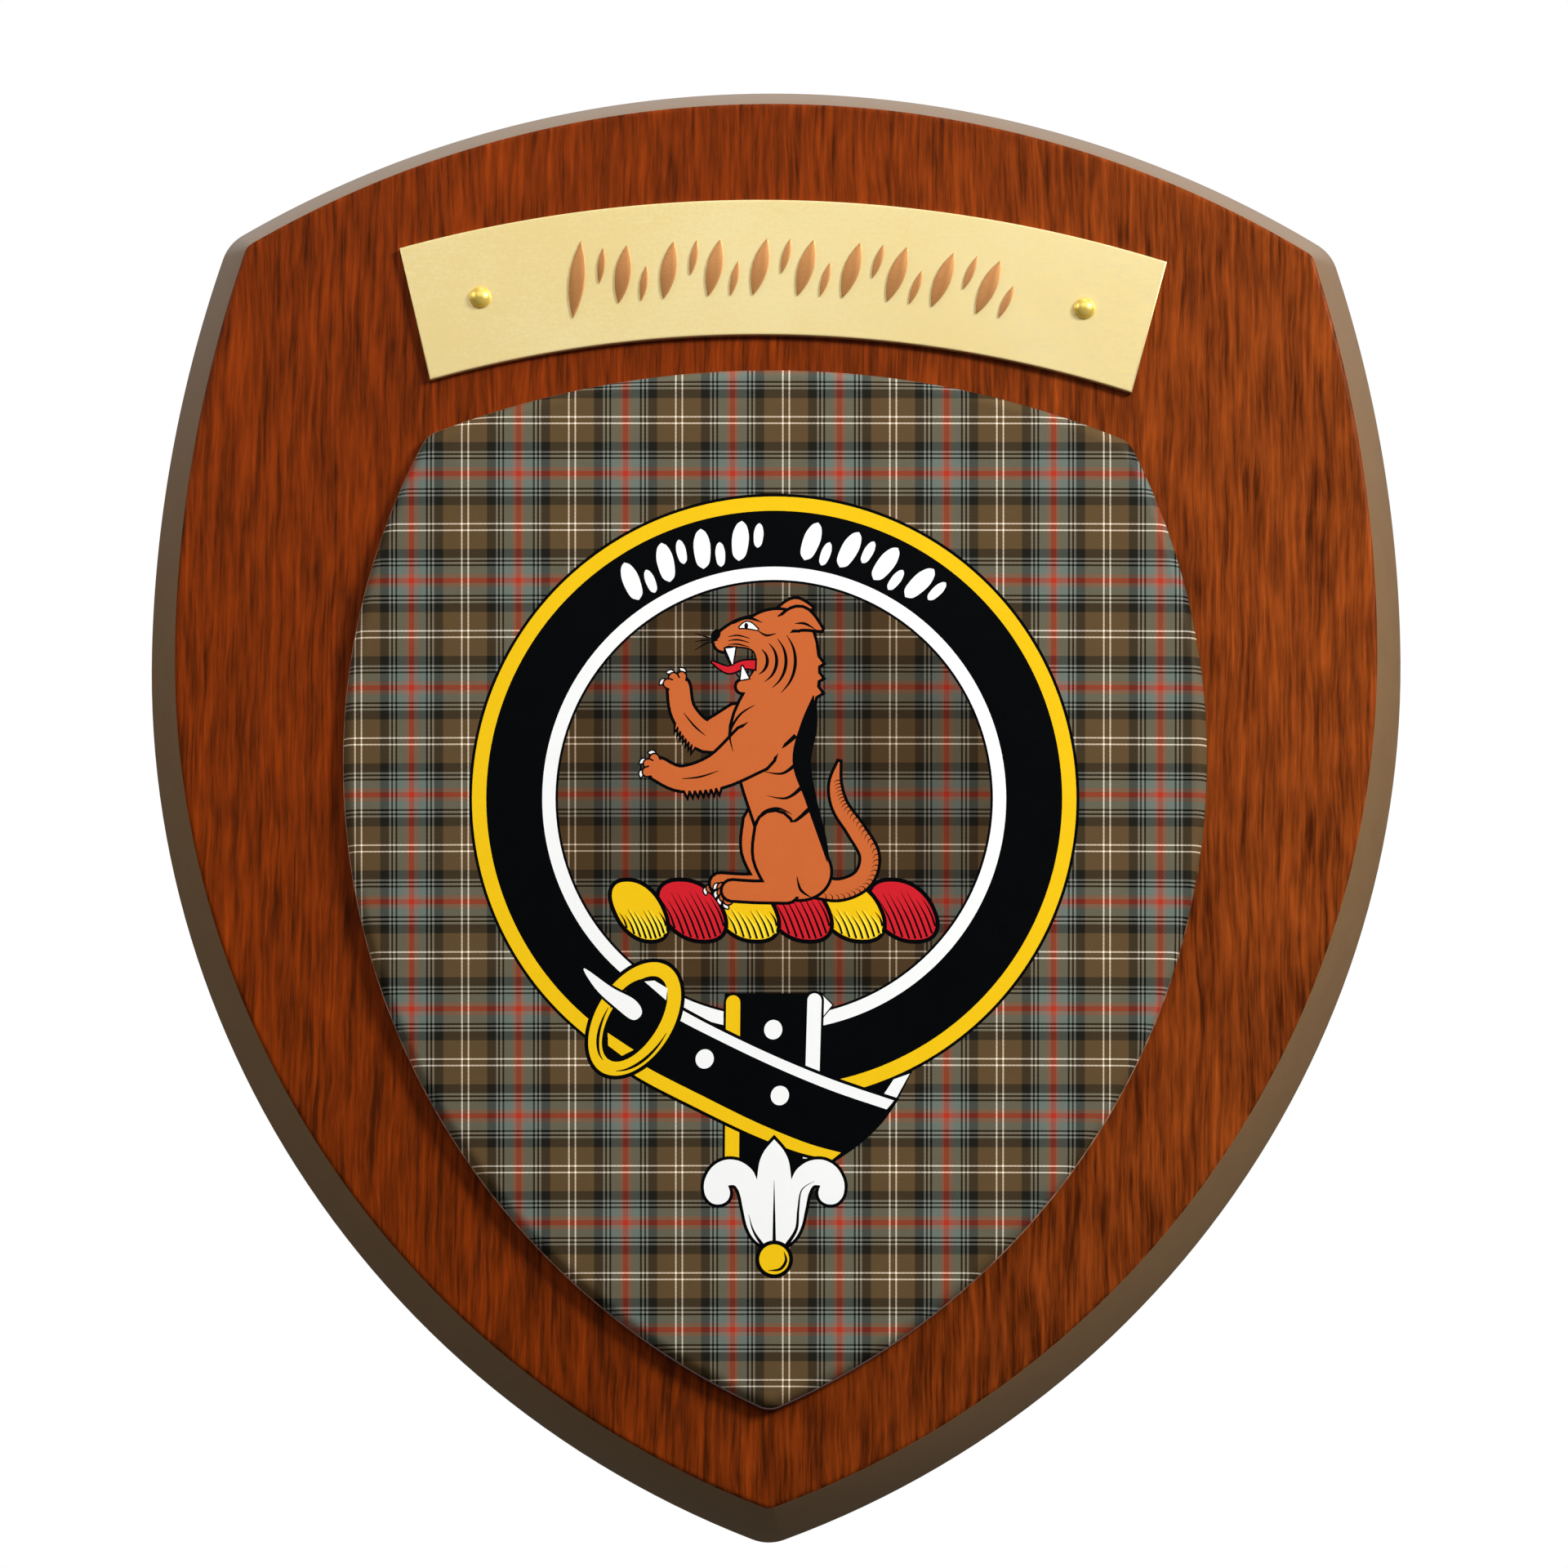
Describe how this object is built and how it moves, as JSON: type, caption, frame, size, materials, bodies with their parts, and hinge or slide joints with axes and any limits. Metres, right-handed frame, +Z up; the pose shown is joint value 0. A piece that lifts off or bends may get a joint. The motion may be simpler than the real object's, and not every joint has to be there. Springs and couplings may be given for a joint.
{
  "type": "wooden heraldic shield plaque",
  "caption": "Shield-shaped bevelled wooden wall plaque with a raised printed inner shield and a curved brass nameplate fixed by round-headed pins.",
  "frame": {"origin": "middle of the flat back face, halfway between the top of the arch and the tip", "axes": "+Z up towards the arch, +X to the right for someone facing the plaque, +Y into the wall, so the front faces -Y"},
  "size_m": [0.2574, 0.0212, 0.3013],
  "materials": {
    "wood_shield": "satin lacquer over red-brown stain, grey-brown bevel",
    "crest_shield": "satin, printed with a check cloth pattern and a heraldic crest",
    "nameplate": "fine satin, pale lacquered, with copper-coloured raised strokes",
    "pins": "polished"
  },
  "bodies": {
    "root": {"wood_shield": "wood_shield", "crest_shield": "crest_shield", "nameplate": "nameplate", "pin_left": "pins", "pin_right": "pins"}
  },
  "joints": []
}
